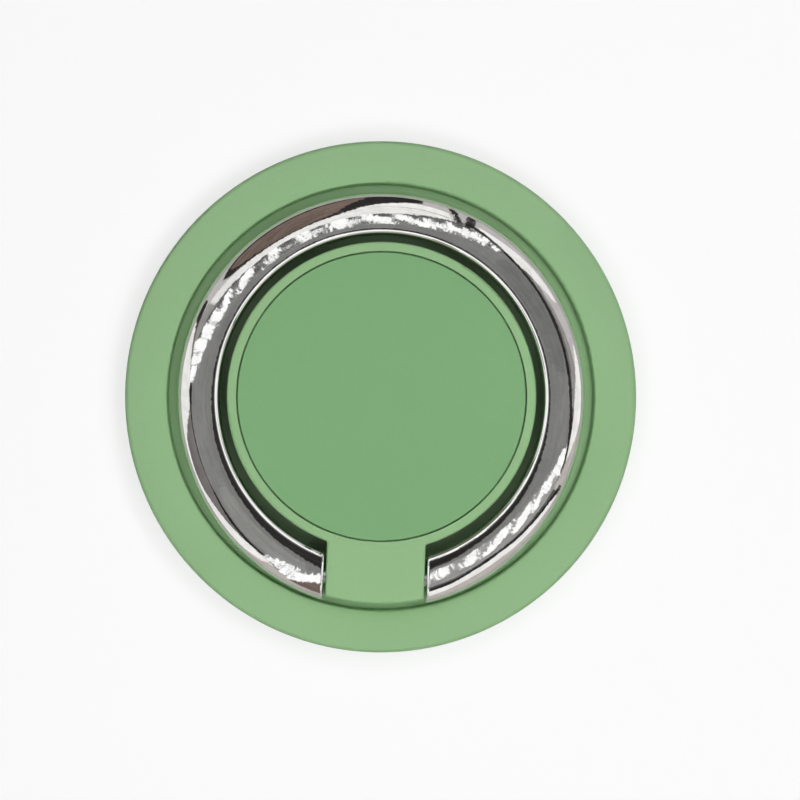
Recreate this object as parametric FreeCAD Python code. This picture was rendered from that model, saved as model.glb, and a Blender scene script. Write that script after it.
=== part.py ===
import FreeCAD, Part

import math
import os

# Phone ring holder: a painted base disc that is stuck to a phone, a hub that turns in it, and a
# chromed finger ring that is hinged at the hub's tab.
# All sizes are in millimetres. The origin is the centre of the adhesive's underside, +Z is up,
# the tab points along -Y and the hinge axis is parallel to X. The ring is folded flat.

# Finger ring
ring_width = 3.13
ring_height = 2.5
ring_flank_radius = 4.0
ring_crest_round = 0.38
ring_end_round = 0.16
ring_flare_inner = 0.28
ring_flare_outer = 0.65
ring_section_step = 22.5

# Hinge
pin_radius = 0.55
pin_grip = 1.8
pin_end_space = 0.15
pin_push_gap = 0.01
pin_chamfer = 0.1
sleeve_wall = 0.15
sleeve_slit = 0.3
sleeve_inset = 0.25
sleeve_seat_gap = 0.01
hinge_running_gap = 0.02

# Hub
hub_radius = 11.45
hub_rim_width = 0.68
hub_skirt_wall = 1.4
hub_web = 0.75
hub_floor_gap = 0.25
hub_edge_round = 0.18
hub_ring_gap = 0.49
tab_width = 7.3
tab_side_gap = 0.18
tab_end_gap = 0.6
tab_end_round = 0.2
tab_tip_length = 0.8
tab_tip_fall = 0.07
tab_tip_blend = 5.0
tab_root_round = 0.2

# Inlay
film_thickness = 0.1
film_inset = 0.2
inlay_thickness = 0.45
inlay_sink = 0.05
inlay_side_gap = 0.11
inlay_edge_round = 0.06

# Centre rivet, bush and washers
journal_radius = 2.5
neck_allowance = 0.2
neck_corner_round = 0.4
neck_gap = 0.03
neck_height = 0.35
head_overlap = 0.6
head_side_gap = 0.05
tenon_radius = 1.6
formed_head_radius = 2.8
formed_head_height = 0.4
formed_head_round = 0.3
bush_wall = 0.8
bush_flange = 0.9
bush_flange_thickness = 0.2
bush_seat_gap = 0.01
slip_thickness = 0.17
slip_inset = 0.6
wave_thickness = 0.15
wave_height = 0.37
wave_count = 3
wave_width = 2.2
wave_bore_gap = 0.3
wave_points = 24
retainer_thickness = 0.3
retainer_overhang = 0.4
retainer_bore_gap = 0.03
journal_running_gap = 0.03
face_running_gap = 0.03

# Base
rim_width = 3.09
floor_thickness = 0.9
recess_depth = 0.9
recess_end_gap = 0.19
recess_draft = 0.16
recess_edge_round = 0.16
plate_top_round = 0.35
plate_bottom_chamfer = 0.15
boss_web = 0.7
boss_side_gap = 0.3
pocket_side_gap = 0.8
cover_ledge = 1.9
cover_thickness = 0.4
cover_side_gap = 0.1
cover_head_gap = 0.15

# Adhesive
pad_thickness = 0.8
pad_inset = 1.0

# Room between the ring's outer edge and the recess floor when the ring stands up
ring_floor_gap = 0.08

# Radii in plan
hub_rim_inner = hub_radius - hub_rim_width
skirt_inner = hub_radius - hub_skirt_wall
boss_radius = skirt_inner - boss_side_gap
ring_inner = hub_radius + hub_ring_gap
ring_outer = ring_inner + ring_width
recess_radius = ring_outer + ring_flare_outer + recess_end_gap
plate_radius = recess_radius + rim_width
tab_end_radius = recess_radius - tab_end_gap
neck_side = 2 * journal_radius + neck_allowance
head_radius = neck_side / math.sqrt(2) + head_overlap
bush_outer = journal_radius + journal_running_gap + bush_wall
bush_flange_radius = bush_outer + bush_flange
wave_inner = journal_radius + wave_bore_gap
wave_outer = wave_inner + wave_width
retainer_radius = wave_outer + retainer_overhang
pocket_radius = retainer_radius + pocket_side_gap
cover_seat_radius = pocket_radius + cover_ledge

# The hinge axis lies midway between the inner and outer edges of the ring's end faces.
ring_end_x = tab_width / 2 + tab_side_gap
end_inner_y = math.sqrt((ring_inner + ring_flare_inner) ** 2 - ring_end_x ** 2)
end_outer_y = math.sqrt((ring_outer + ring_flare_outer) ** 2 - ring_end_x ** 2)
hinge_y = -(end_inner_y + end_outer_y) / 2
end_reach = (end_outer_y - end_inner_y) / 2

# Heights, from the adhesive's underside up
plate_z = pad_thickness
recess_z = plate_z + floor_thickness
rim_z = recess_z + recess_depth
cover_z = plate_z + cover_thickness
formed_head_z = cover_z + cover_head_gap
retainer_z = formed_head_z + formed_head_height
shoulder_z = retainer_z + retainer_thickness
wave_z = shoulder_z + face_running_gap
web_z = wave_z + wave_height
boss_z = web_z + boss_web
slip_top_z = boss_z + slip_thickness
hub_web_z = slip_top_z + face_running_gap
neck_top_z = hub_web_z + neck_height
inlay_floor_z = hub_web_z + hub_web
film_top_z = inlay_floor_z + film_thickness
inlay_top_z = film_top_z + inlay_thickness
hub_top_z = inlay_top_z + inlay_sink
skirt_z = recess_z + hub_floor_gap
hinge_z = recess_z + end_reach + ring_floor_gap

# How far cutting tools reach past what they cut
overcut = 1.0

axis_z = FreeCAD.Vector(0, 0, 1)
axis_x = FreeCAD.Vector(1, 0, 0)


def round_factors(lengths, reaches):
    """Factor for each corner so that neighbouring rounds fit on the edge between them."""
    factors = [1.0] * len(reaches)
    for i, length in enumerate(lengths):
        j = (i + 1) % len(reaches)
        wanted = reaches[i] + reaches[j]
        if wanted > length:
            factors[i] = min(factors[i], length / wanted)
            factors[j] = min(factors[j], length / wanted)
    return factors


def rounded_wire(corners):
    """Closed wire in the XZ plane through (x, z, radius) corners, rounded by arcs."""
    points = [FreeCAD.Vector(x, 0, z) for x, z, radius in corners]
    count = len(points)
    steps = [points[(i + 1) % count] - points[i] for i in range(count)]
    lengths = [step.Length for step in steps]
    ahead = [step.normalize() for step in steps]
    back = [ahead[i - 1] * -1 for i in range(count)]
    half_angles = [back[i].getAngle(ahead[i]) / 2 for i in range(count)]
    reaches = [corners[i][2] / math.tan(half_angles[i]) for i in range(count)]
    factors = round_factors(lengths, reaches)

    starts = [points[i] + back[i] * (reaches[i] * factors[i]) for i in range(count)]
    ends = [points[i] + ahead[i] * (reaches[i] * factors[i]) for i in range(count)]
    edges = []
    for i in range(count):
        radius = corners[i][2] * factors[i]
        if radius > 0:
            inward = (back[i] + ahead[i]).normalize()
            middle = points[i] + inward * (radius / math.sin(half_angles[i]) - radius)
            edges.append(Part.Arc(starts[i], middle, ends[i]).toShape())
        next_start = starts[(i + 1) % count]
        if (next_start - ends[i]).Length > Part.Precision.confusion():
            edges.append(Part.makeLine(ends[i], next_start))
    return Part.Wire(edges)


def turned(corners):
    """Solid turned about Z from a closed outline of (radius, z, corner radius)."""
    face = Part.Face(rounded_wire(corners))
    return face.revolve(FreeCAD.Vector(0, 0, 0), axis_z, 360)


def disc(radius, low, high, edge_round=0.0):
    """Flat disc from z low to z high, with its upper edge rounded."""
    return turned([(0, low, 0), (radius, low, 0), (radius, high, edge_round), (0, high, 0)])


def washer(inner, outer, low, high):
    """Flat washer from z low to z high."""
    return turned([(inner, low, 0), (outer, low, 0), (outer, high, 0), (inner, high, 0)])


def rod_x(radius, half_length, y, z):
    """Cylinder along X, centred on x = 0."""
    start = FreeCAD.Vector(-half_length, y, z)
    return Part.makeCylinder(radius, 2 * half_length, start, axis_x)


def square_block(side, low, high, corner_round):
    """Square prism on the Z axis, its upright edges rounded."""
    corner = FreeCAD.Vector(-side / 2, -side / 2, low)
    block = Part.makeBox(side, side, high - low, corner)
    upright = [edge for edge in block.Edges if abs(edge.tangentAt(0).z) > 0.5]
    return block.makeFillet(corner_round, upright)


def adhesive_pad():
    """Foam adhesive disc that sticks to the phone."""
    return disc(plate_radius - pad_inset, 0, pad_thickness)


def back_cover():
    """Thin steel disc, flush in the base's underside."""
    return disc(cover_seat_radius - cover_side_gap, plate_z, cover_z)


def base_plate():
    """Dished disc: rim, ring-shaped recess, raised boss with a bore, and a pocket below."""
    seat = bush_outer + bush_seat_gap
    flange_seat = bush_flange_radius + bush_seat_gap
    flange_z = boss_z - bush_flange_thickness
    return turned([
        (cover_seat_radius, plate_z, 0),
        (plate_radius - plate_bottom_chamfer, plate_z, 0),
        (plate_radius, plate_z + plate_bottom_chamfer, 0),
        (plate_radius, rim_z, plate_top_round),
        (recess_radius, rim_z, recess_edge_round),
        (recess_radius - recess_draft, recess_z, 0),
        (boss_radius, recess_z, 0),
        (boss_radius, boss_z, 0),
        (flange_seat, boss_z, 0),
        (flange_seat, flange_z, 0),
        (seat, flange_z, 0),
        (seat, web_z, 0),
        (pocket_radius, web_z, 0),
        (pocket_radius, cover_z, 0),
        (cover_seat_radius, cover_z, 0),
    ])


def bearing_bush():
    """Flanged plastic bush in the boss, round the rivet's journal."""
    bore = journal_radius + journal_running_gap
    flange_z = boss_z - bush_flange_thickness
    return turned([
        (bore, web_z, 0),
        (bush_outer, web_z, 0),
        (bush_outer, flange_z, 0),
        (bush_flange_radius, flange_z, 0),
        (bush_flange_radius, boss_z, 0),
        (bore, boss_z, 0),
    ])


def slip_washer():
    """Plastic washer that the hub turns on."""
    inner = journal_radius + journal_running_gap
    return washer(inner, boss_radius - slip_inset, boss_z, slip_top_z)


def wave_edge(radius, height):
    """Closed curve of the wave washer at a radius, its crests at the given height."""
    swing = (wave_height - wave_thickness) / 2
    points = []
    for i in range(wave_points):
        angle = 2 * math.pi * i / wave_points
        z = height - swing + swing * math.sin(wave_count * angle)
        points.append(FreeCAD.Vector(radius * math.cos(angle), radius * math.sin(angle), z))
    curve = Part.BSplineCurve()
    curve.interpolate(Points=points, PeriodicFlag=True)
    return curve.toShape()


def wave_washer():
    """Spring washer that presses the retaining washer down, pushed against the boss's web."""
    top_inner = wave_edge(wave_inner, web_z)
    top_outer = wave_edge(wave_outer, web_z)
    low_inner = wave_edge(wave_inner, web_z - wave_thickness)
    low_outer = wave_edge(wave_outer, web_z - wave_thickness)
    faces = [
        Part.makeRuledSurface(top_inner, top_outer),
        Part.makeRuledSurface(low_inner, low_outer),
        Part.makeRuledSurface(top_inner, low_inner),
        Part.makeRuledSurface(top_outer, low_outer),
    ]
    shell = Part.makeShell(faces)
    shell.sewShape()
    solid = Part.makeSolid(shell)
    if solid.Volume < 0:
        solid.reverse()
    return solid


def retaining_washer():
    """Steel washer between the rivet's shoulder and its formed head."""
    return washer(tenon_radius + retainer_bore_gap, retainer_radius, retainer_z, shoulder_z)


def centre_rivet():
    """Rivet with a flat head and a square neck in the hub, a journal and a formed head."""
    shank = turned([
        (0, formed_head_z, 0),
        (formed_head_radius, formed_head_z, formed_head_round),
        (formed_head_radius, retainer_z, 0),
        (tenon_radius, retainer_z, 0),
        (tenon_radius, shoulder_z, 0),
        (journal_radius, shoulder_z, 0),
        (journal_radius, neck_top_z, 0),
        (head_radius, neck_top_z, 0),
        (head_radius, inlay_floor_z, 0),
        (0, inlay_floor_z, 0),
    ])
    neck = square_block(neck_side, hub_web_z, neck_top_z, neck_corner_round)
    return shank.fuse(neck).removeSplitter()


def tab_blank():
    """Tab from the hub's middle out: its tip falls a little and ends in an arc about the centre."""
    fan = turned([
        (0, skirt_z, 0),
        (tab_end_radius, skirt_z, 0),
        (tab_end_radius, hub_top_z - tab_tip_fall, tab_end_round),
        (tab_end_radius - tab_tip_length, hub_top_z, tab_tip_blend),
        (0, hub_top_z, 0),
    ])
    corner = FreeCAD.Vector(-tab_width / 2, -tab_end_radius - overcut, skirt_z)
    strip = Part.makeBox(tab_width, tab_end_radius + overcut, hub_top_z - skirt_z, corner)
    return fan.common(strip)


def root_edges(shape):
    """Upright edges where the tab's sides meet the hub."""
    found = []
    for edge in shape.Edges:
        middle = edge.CenterOfMass
        upright = edge.BoundBox.ZLength > 0.9 * (hub_top_z - skirt_z)
        on_side = abs(abs(middle.x) - tab_width / 2) < Part.Precision.confusion()
        on_hub = abs(math.hypot(middle.x, middle.y) - hub_radius) < Part.Precision.confusion()
        if upright and on_side and on_hub:
            found.append(edge)
    return found


def top_edges(shape):
    """Outline of the hub's top face, and the tab's rounded end beside it."""
    found = []
    for face in shape.Faces:
        flat_top = face.BoundBox.ZLength < Part.Precision.confusion()
        if flat_top and abs(face.CenterOfMass.z - hub_top_z) < Part.Precision.confusion():
            for edge in face.OuterWire.Edges:
                if edge.CenterOfMass.y > -tab_end_radius + tab_end_round:
                    found.append(edge)
    return found


def hub():
    """Painted hub: rim, web and skirt, with the tab that carries the hinge."""
    blank = disc(hub_radius, skirt_z, hub_top_z).fuse(tab_blank()).removeSplitter()
    blank = blank.makeFillet(tab_root_round, root_edges(blank))
    blank = blank.makeFillet(hub_edge_round, top_edges(blank))

    inlay_seat = disc(hub_rim_inner, inlay_floor_z, hub_top_z + overcut)
    head_seat = disc(head_radius + head_side_gap, neck_top_z, inlay_floor_z + overcut)
    neck_hole = square_block(neck_side + 2 * neck_gap, skirt_z, neck_top_z + overcut,
                             neck_corner_round)
    underside = disc(skirt_inner, skirt_z - overcut, hub_web_z)
    bore_radius = pin_radius + hinge_running_gap + sleeve_wall + sleeve_seat_gap
    bore = rod_x(bore_radius, tab_width, hinge_y, hinge_z)
    return blank.cut([inlay_seat, head_seat, neck_hole, underside, bore])


def inlay_film():
    """Adhesive film under the inlay disc."""
    return disc(hub_rim_inner - inlay_side_gap - film_inset, inlay_floor_z, film_top_z)


def inlay_disc():
    """Disc set into the hub, over the rivet's head."""
    return disc(hub_rim_inner - inlay_side_gap, film_top_z, inlay_top_z, inlay_edge_round)


def ring_section(angle):
    """Ring's section at an angle round the centre: rounded inner flank, small crest, half ellipse."""
    lean = min(0.0, math.sin(angle)) ** 2
    inner = ring_inner + ring_flare_inner * lean
    outer = ring_outer + ring_flare_outer * lean
    half = ring_height / 2

    # The crest's arc touches the flank's arc from within and is level where the ellipse starts.
    flank_centre = inner + ring_flank_radius
    reach = ring_flank_radius - ring_crest_round
    rise = half - ring_crest_round
    crown = flank_centre - math.sqrt(reach ** 2 - rise ** 2)
    slope = math.asin(rise / reach)

    def at(radius, height):
        return FreeCAD.Vector(radius * math.cos(angle), radius * math.sin(angle),
                              hinge_z + height)

    def arc_point(centre, height, radius, turn):
        return at(centre - radius * math.cos(turn), height + radius * math.sin(turn))

    def crest(sign):
        middle = (slope + math.pi / 2) / 2
        return Part.Arc(
            arc_point(crown, sign * rise, ring_crest_round, sign * slope),
            arc_point(crown, sign * rise, ring_crest_round, sign * middle),
            at(crown, sign * half),
        ).toShape()

    flank = Part.Arc(
        arc_point(flank_centre, 0, ring_flank_radius, -slope),
        at(inner, 0),
        arc_point(flank_centre, 0, ring_flank_radius, slope),
    ).toShape()
    ellipse = Part.Ellipse(at(outer, 0), at(crown, half), at(crown, 0))
    side = Part.ArcOfEllipse(ellipse, -math.pi / 2, math.pi / 2).toShape()
    return Part.Wire(Part.__sortEdges__([flank, crest(1), side, crest(-1)]))


def ring_blank():
    """Ring round to the tab: turned on its far half, lofted where it widens towards its ends."""
    far_half = Part.Face(ring_section(0)).revolve(FreeCAD.Vector(0, 0, 0), axis_z, 180)
    gap_angle = math.asin(ring_end_x / (ring_outer + ring_flare_outer)) / 2
    sweep = math.pi / 2 - gap_angle
    steps = round(math.degrees(sweep) / ring_section_step)
    sections = [ring_section(math.pi + sweep * i / steps) for i in range(steps + 1)]
    left = Part.makeLoft(sections, True, False)
    right = left.mirror(FreeCAD.Vector(0, 0, 0), axis_x)
    return far_half.fuse([left, right])


def end_face_edges(shape):
    """Edges of the ring's two end faces."""
    found = []
    for edge in shape.Edges:
        flat = edge.BoundBox.XLength < Part.Precision.confusion()
        at_end = abs(abs(edge.CenterOfMass.x) - ring_end_x) < Part.Precision.confusion()
        if flat and at_end:
            found.append(edge)
    return found


def ring():
    """Chromed finger ring with flat rounded ends and a blind pin hole in each."""
    corner = FreeCAD.Vector(-ring_end_x, -plate_radius, hinge_z - ring_height)
    gap = Part.makeBox(2 * ring_end_x, plate_radius, 2 * ring_height, corner)
    shape = ring_blank().cut(gap)
    shape = shape.makeFillet(ring_end_round, end_face_edges(shape))
    reach = ring_end_x + pin_grip + pin_end_space
    return shape.cut(rod_x(pin_radius + pin_push_gap, reach, hinge_y, hinge_z))


def hinge_pin():
    """Steel pin through the tab into both ring ends."""
    pin = rod_x(pin_radius, ring_end_x + pin_grip, hinge_y, hinge_z)
    rims = [edge for edge in pin.Edges if edge.BoundBox.XLength < Part.Precision.confusion()]
    return pin.makeChamfer(pin_chamfer, rims)


def friction_sleeve():
    """Split sleeve of spring steel in the tab, round the pin."""
    half = tab_width / 2 - sleeve_inset
    inner = pin_radius + hinge_running_gap
    outer = inner + sleeve_wall
    tube = rod_x(outer, half, hinge_y, hinge_z).cut(rod_x(inner, half + overcut, hinge_y, hinge_z))
    corner = FreeCAD.Vector(-half - overcut, hinge_y - sleeve_slit / 2, hinge_z - outer - overcut)
    slit = Part.makeBox(2 * (half + overcut), sleeve_slit, outer + overcut, corner)
    return tube.cut(slit)


PARTS = [
    adhesive_pad,
    back_cover,
    base_plate,
    bearing_bush,
    slip_washer,
    wave_washer,
    retaining_washer,
    centre_rivet,
    hub,
    inlay_film,
    inlay_disc,
    ring,
    hinge_pin,
    friction_sleeve,
]


def main():
    os.makedirs("parts", exist_ok=True)
    for build in PARTS:
        shape = build()
        solids = shape.Solids
        if len(solids) == 1:
            shape = solids[0]
        box = shape.BoundBox
        print(
            build.__name__, "solids", len(solids), "valid", shape.isValid(),
            "volume", round(shape.Volume, 3),
            "z", round(box.ZMin, 3), round(box.ZMax, 3), "y", round(box.YMin, 3), round(box.YMax, 3),
        )
        shape.exportStep(os.path.join("parts", build.__name__ + ".step"))
    print("hinge y", round(hinge_y, 3), "z", round(hinge_z, 3), "plate radius", plate_radius)


main()
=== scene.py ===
import math

import bpy
from mathutils import Matrix, Vector


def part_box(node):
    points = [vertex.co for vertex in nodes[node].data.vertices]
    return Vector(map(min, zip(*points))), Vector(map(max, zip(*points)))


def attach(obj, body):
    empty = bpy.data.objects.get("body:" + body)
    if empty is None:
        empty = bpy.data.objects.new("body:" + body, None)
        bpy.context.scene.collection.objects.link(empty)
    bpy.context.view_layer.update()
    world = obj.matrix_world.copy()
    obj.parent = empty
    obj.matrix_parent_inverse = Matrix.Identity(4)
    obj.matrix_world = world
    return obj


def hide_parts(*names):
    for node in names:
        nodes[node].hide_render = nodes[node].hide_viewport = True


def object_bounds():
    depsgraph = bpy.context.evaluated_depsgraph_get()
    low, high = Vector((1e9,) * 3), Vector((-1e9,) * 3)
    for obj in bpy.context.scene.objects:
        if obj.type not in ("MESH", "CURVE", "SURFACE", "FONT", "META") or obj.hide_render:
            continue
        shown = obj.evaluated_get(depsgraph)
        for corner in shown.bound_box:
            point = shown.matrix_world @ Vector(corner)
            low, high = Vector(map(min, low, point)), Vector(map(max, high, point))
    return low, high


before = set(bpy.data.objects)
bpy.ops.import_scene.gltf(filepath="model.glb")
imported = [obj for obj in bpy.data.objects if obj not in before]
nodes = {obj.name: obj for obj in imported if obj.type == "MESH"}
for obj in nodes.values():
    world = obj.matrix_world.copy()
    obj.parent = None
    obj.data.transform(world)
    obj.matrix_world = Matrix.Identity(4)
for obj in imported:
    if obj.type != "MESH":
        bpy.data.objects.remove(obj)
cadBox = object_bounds()
mm = 0.001
weld = 0.0005 * mm       # points closer than this become one
tiny = 0.0001 * mm       # room for rounding when points are picked by place
print("frame loaded:", len(nodes), "pieces")


def deselectAll():
    bpy.ops.object.select_all(action="DESELECT")


def makeActive(piece):
    deselectAll()
    piece.select_set(True)
    bpy.context.view_layer.objects.active = piece


def selectVertices(piece, keep):
    # in edit mode: only the vertices that the test keeps stay selected
    bpy.ops.mesh.select_mode(type="VERT")
    bpy.ops.mesh.select_all(action="DESELECT")
    bpy.ops.object.mode_set(mode="OBJECT")
    for vertex in piece.data.vertices:
        vertex.select = keep(vertex.co)
    bpy.ops.object.mode_set(mode="EDIT")


def selectPoints(piece, numbers):
    # in edit mode: only the vertices with these numbers stay selected
    bpy.ops.mesh.select_all(action="DESELECT")
    bpy.ops.object.mode_set(mode="OBJECT")
    for number in numbers:
        piece.data.vertices[number].select = True
    bpy.ops.object.mode_set(mode="EDIT")


def editedPoints(piece):
    # the points of a piece that is in edit mode
    piece.update_from_editmode()
    return piece.data.vertices


def placeInMesh(piece):
    makeActive(piece)
    bpy.ops.object.transform_apply(location=True, rotation=True, scale=True)


deselectAll()


def newMaterial(name):
    material = bpy.data.materials.new(name)
    material.use_nodes = True
    material.node_tree.nodes.clear()
    return material, material.node_tree


def makeGroup(name, inputs, outputs):
    # a shared effect, with its sockets by name and kind
    group = bpy.data.node_groups.new(name, "ShaderNodeTree")
    for side, sockets in (("INPUT", inputs), ("OUTPUT", outputs)):
        for label, kind in sockets.items():
            group.interface.new_socket(name=label, in_out=side, socket_type="NodeSocket" + kind)
    return group, addNode(group, "NodeGroupInput"), addNode(group, "NodeGroupOutput")


def addNode(tree, kind, **settings):
    node = tree.nodes.new(kind)
    for key, value in settings.items():
        setattr(node, key, value)
    return node


def feed(tree, value, socket):
    # a socket takes a number, a colour or what another socket gives
    if isinstance(value, (int, float)):
        socket.default_value = value
    elif isinstance(value, tuple):
        socket.default_value = (*value, 1.0)
    else:
        tree.links.new(value, socket)


def addEffect(tree, group, inputs):
    node = addNode(tree, "ShaderNodeGroup", node_tree=group)
    for name, value in inputs.items():
        feed(tree, value, node.inputs[name])
    return node.outputs


def mathNode(tree, operation, first, second):
    node = addNode(tree, "ShaderNodeMath", operation=operation)
    feed(tree, first, node.inputs[0])
    feed(tree, second, node.inputs[1])
    return node.outputs[0]


def rangeNode(tree, value, low, high, toLow, toHigh, smooth=True):
    node = addNode(tree, "ShaderNodeMapRange")
    node.interpolation_type = "SMOOTHSTEP" if smooth else "LINEAR"
    feed(tree, value, node.inputs["Value"])
    node.inputs["From Min"].default_value = low
    node.inputs["From Max"].default_value = high
    node.inputs["To Min"].default_value = toLow
    node.inputs["To Max"].default_value = toHigh
    return node.outputs["Result"]


def mixColour(tree, factor, first, second):
    node = addNode(tree, "ShaderNodeMix", data_type="RGBA")
    for number, value in ((0, factor), (6, first), (7, second)):
        feed(tree, value, node.inputs[number])
    return node.outputs[2]


def mixShaders(tree, factor, first, second):
    node = addNode(tree, "ShaderNodeMixShader")
    feed(tree, factor, node.inputs[0])
    feed(tree, first.outputs[0], node.inputs[1])
    feed(tree, second.outputs[0], node.inputs[2])
    return node


def noiseNode(tree, place, scale, detail):
    node = addNode(tree, "ShaderNodeTexNoise")
    feed(tree, place, node.inputs["Vector"])
    feed(tree, scale, node.inputs["Scale"])
    node.inputs["Detail"].default_value = detail
    return node.outputs[0]


def cellNode(tree, place, scale):
    node = addNode(tree, "ShaderNodeTexVoronoi")
    feed(tree, place, node.inputs["Vector"])
    node.inputs["Scale"].default_value = scale
    return node.outputs["Distance"]


def bumpNode(tree, height, depth, strength=1.0, invert=False):
    # depth in mm
    node = addNode(tree, "ShaderNodeBump", invert=invert)
    node.inputs["Strength"].default_value = strength
    node.inputs["Distance"].default_value = depth * mm
    feed(tree, height, node.inputs["Height"])
    return node


def objectPlace(tree):
    return addNode(tree, "ShaderNodeTexCoord").outputs["Object"]


def finishShader(tree, shader):
    out = addNode(tree, "ShaderNodeOutputMaterial")
    feed(tree, shader.outputs[0], out.inputs["Surface"])


def finishSurface(tree, inputs):
    shader = addNode(tree, "ShaderNodeBsdfPrincipled")
    for name, value in inputs.items():
        feed(tree, value, shader.inputs[name])
    finishShader(tree, shader)


def linear(red, green, blue):
    # a colour as a picture shows it (0 to 255), turned into scene light
    def one(value):
        value = value / 255
        return value / 12.92 if value <= 0.04045 else ((value + 0.055) / 1.055) ** 2.4
    return one(red), one(green), one(blue)


surfaceSockets = {"Color": "Color", "Roughness": "Float", "Height": "Float"}

sprayLook = {
    "driftScale": 70, "driftShare": 0.55,
    "grainScale": 5200, "grainShare": 0.3, "grainHeight": 0.35,
    "peelScale": 1500, "roughSpread": 0.05,
}


def makeSprayedPaint(look):
    # sprayed paint: broad tone drift, fine grain and orange peel
    group, entry, leave = makeGroup("sprayedPaint", {
        "Vector": "Vector", "Tone": "Color", "Deeper Tone": "Color", "Grain Size": "Float",
        "Roughness": "Float",
    }, surfaceSockets)
    place, tone, deeperTone, size, roughness = list(entry.outputs)[:5]
    drift = noiseNode(group, place, look["driftScale"], 3)
    grain = noiseNode(group, place, mathNode(group, "MULTIPLY", size, look["grainScale"]), 2)
    peel = noiseNode(group, place, mathNode(group, "MULTIPLY", size, look["peelScale"]), 1.5)

    mask = mathNode(group, "ADD", rangeNode(group, drift, 0.3, 0.7, 0.0, look["driftShare"]),
                    rangeNode(group, grain, 0.35, 0.75, 0.0, look["grainShare"]))
    feed(group, mixColour(group, mask, tone, deeperTone), leave.inputs["Color"])
    spread = rangeNode(group, peel, 0.3, 0.7, -look["roughSpread"], look["roughSpread"])
    feed(group, mathNode(group, "ADD", roughness, spread), leave.inputs["Roughness"])
    fine = mathNode(group, "MULTIPLY", grain, look["grainHeight"])
    feed(group, mathNode(group, "ADD", peel, fine), leave.inputs["Height"])
    return group


rollLook = {
    "lineScale": (120, 5200, 5200), "lineShare": 0.5, "roughLess": 0.06, "roughMore": 0.08,
    "stainScale": 420, "stainShare": 0.5,
}


def makeRolledSteel(look):
    # rolled or turned steel: fine lines along one direction, faint stains
    group, entry, leave = makeGroup("rolledSteel", {
        "Vector": "Vector", "Tone": "Color", "Deeper Tone": "Color", "Roughness": "Float",
    }, surfaceSockets)
    place, tone, deeperTone, roughness = list(entry.outputs)[:4]
    stretch = addNode(group, "ShaderNodeMapping")
    stretch.inputs["Scale"].default_value = look["lineScale"]
    feed(group, place, stretch.inputs["Vector"])
    lines = noiseNode(group, stretch.outputs[0], 1, 3)
    stain = noiseNode(group, place, look["stainScale"], 4)
    mask = mathNode(group, "ADD", rangeNode(group, lines, 0.35, 0.65, 0.0, look["lineShare"]),
                    rangeNode(group, stain, 0.4, 0.7, 0.0, look["stainShare"]))
    feed(group, mixColour(group, mask, tone, deeperTone), leave.inputs["Color"])
    spread = rangeNode(group, lines, 0.3, 0.7, -look["roughLess"], look["roughMore"])
    feed(group, mathNode(group, "ADD", roughness, spread), leave.inputs["Roughness"])
    feed(group, lines, leave.inputs["Height"])
    return group


grooveLook = {"fadeOutward": 0.6 * mm, "fadeInward": 0.2 * mm, "fadeUpward": 0.25 * mm}


def makePaintedGrooveShade(look):
    # a mask that is 1 low down between two radii: painted shade in a groove, where the parts around it keep
    # light out
    group, entry, leave = makeGroup("paintedGrooveShade", {
        "Vector": "Vector", "Inner": "Float", "Outer": "Float", "Top": "Float",
    }, {"Mask": "Float"})
    place, inner, outer, top = list(entry.outputs)[:4]
    parts = addNode(group, "ShaderNodeSeparateXYZ")
    feed(group, place, parts.inputs[0])
    flat = addNode(group, "ShaderNodeVectorMath", operation="MULTIPLY")
    flat.inputs[1].default_value = (1, 1, 0)
    feed(group, place, flat.inputs[0])
    length = addNode(group, "ShaderNodeVectorMath", operation="LENGTH")
    feed(group, flat.outputs[0], length.inputs[0])
    radius = length.outputs["Value"]
    inside = mathNode(group, "SUBTRACT", outer, radius)
    outside = mathNode(group, "SUBTRACT", radius, inner)
    below = mathNode(group, "SUBTRACT", top, parts.outputs["Z"])
    mask = rangeNode(group, inside, 0, look["fadeOutward"], 0, 1)
    mask = mathNode(group, "MULTIPLY", mask, rangeNode(group, outside, 0, look["fadeInward"], 0, 1))
    mask = mathNode(group, "MULTIPLY", mask, rangeNode(group, below, 0, look["fadeUpward"], 0, 1))
    feed(group, mask, leave.inputs["Mask"])
    return group


sprayedPaint = makeSprayedPaint(sprayLook)
rolledSteel = makeRolledSteel(rollLook)
paintedGrooveShade = makePaintedGrooveShade(grooveLook)
print("shared effects made")


def makePaint(name, look):
    material, tree = newMaterial(name)
    place = objectPlace(tree)
    paint = addEffect(tree, sprayedPaint, {
        "Vector": place, "Tone": linear(*look["tone"]), "Deeper Tone": linear(*look["deeperTone"]),
        "Grain Size": look["grainSize"], "Roughness": look["roughness"]})
    bump = bumpNode(tree, paint["Height"], look["bumpDepth"], look["bump"])
    colour = paint["Color"]
    # painted shade: the paint is darkened low in the groove, where little light gets in
    if "paintedShadeTone" in look:
        shade = addEffect(tree, paintedGrooveShade, {
            "Vector": place, "Inner": look["grooveInner"], "Outer": look["grooveOuter"],
            "Top": look["grooveTop"]})
        colour = mixColour(tree, shade["Mask"], colour, linear(*look["paintedShadeTone"]))
    finishSurface(tree, {"Base Color": colour, "Roughness": paint["Roughness"], "Normal": bump.outputs[0]})
    return material


def makeSteel(name, look):
    material, tree = newMaterial(name)
    steel = addEffect(tree, rolledSteel, {
        "Vector": objectPlace(tree), "Tone": look["tone"], "Deeper Tone": look["deeperTone"],
        "Roughness": look["roughness"]})
    bump = bumpNode(tree, steel["Height"], look["lineDepth"], look["bump"])
    finishSurface(tree, {"Metallic": 1, "Base Color": steel["Color"], "Roughness": steel["Roughness"],
                         "Normal": bump.outputs[0]})
    return material


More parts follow.
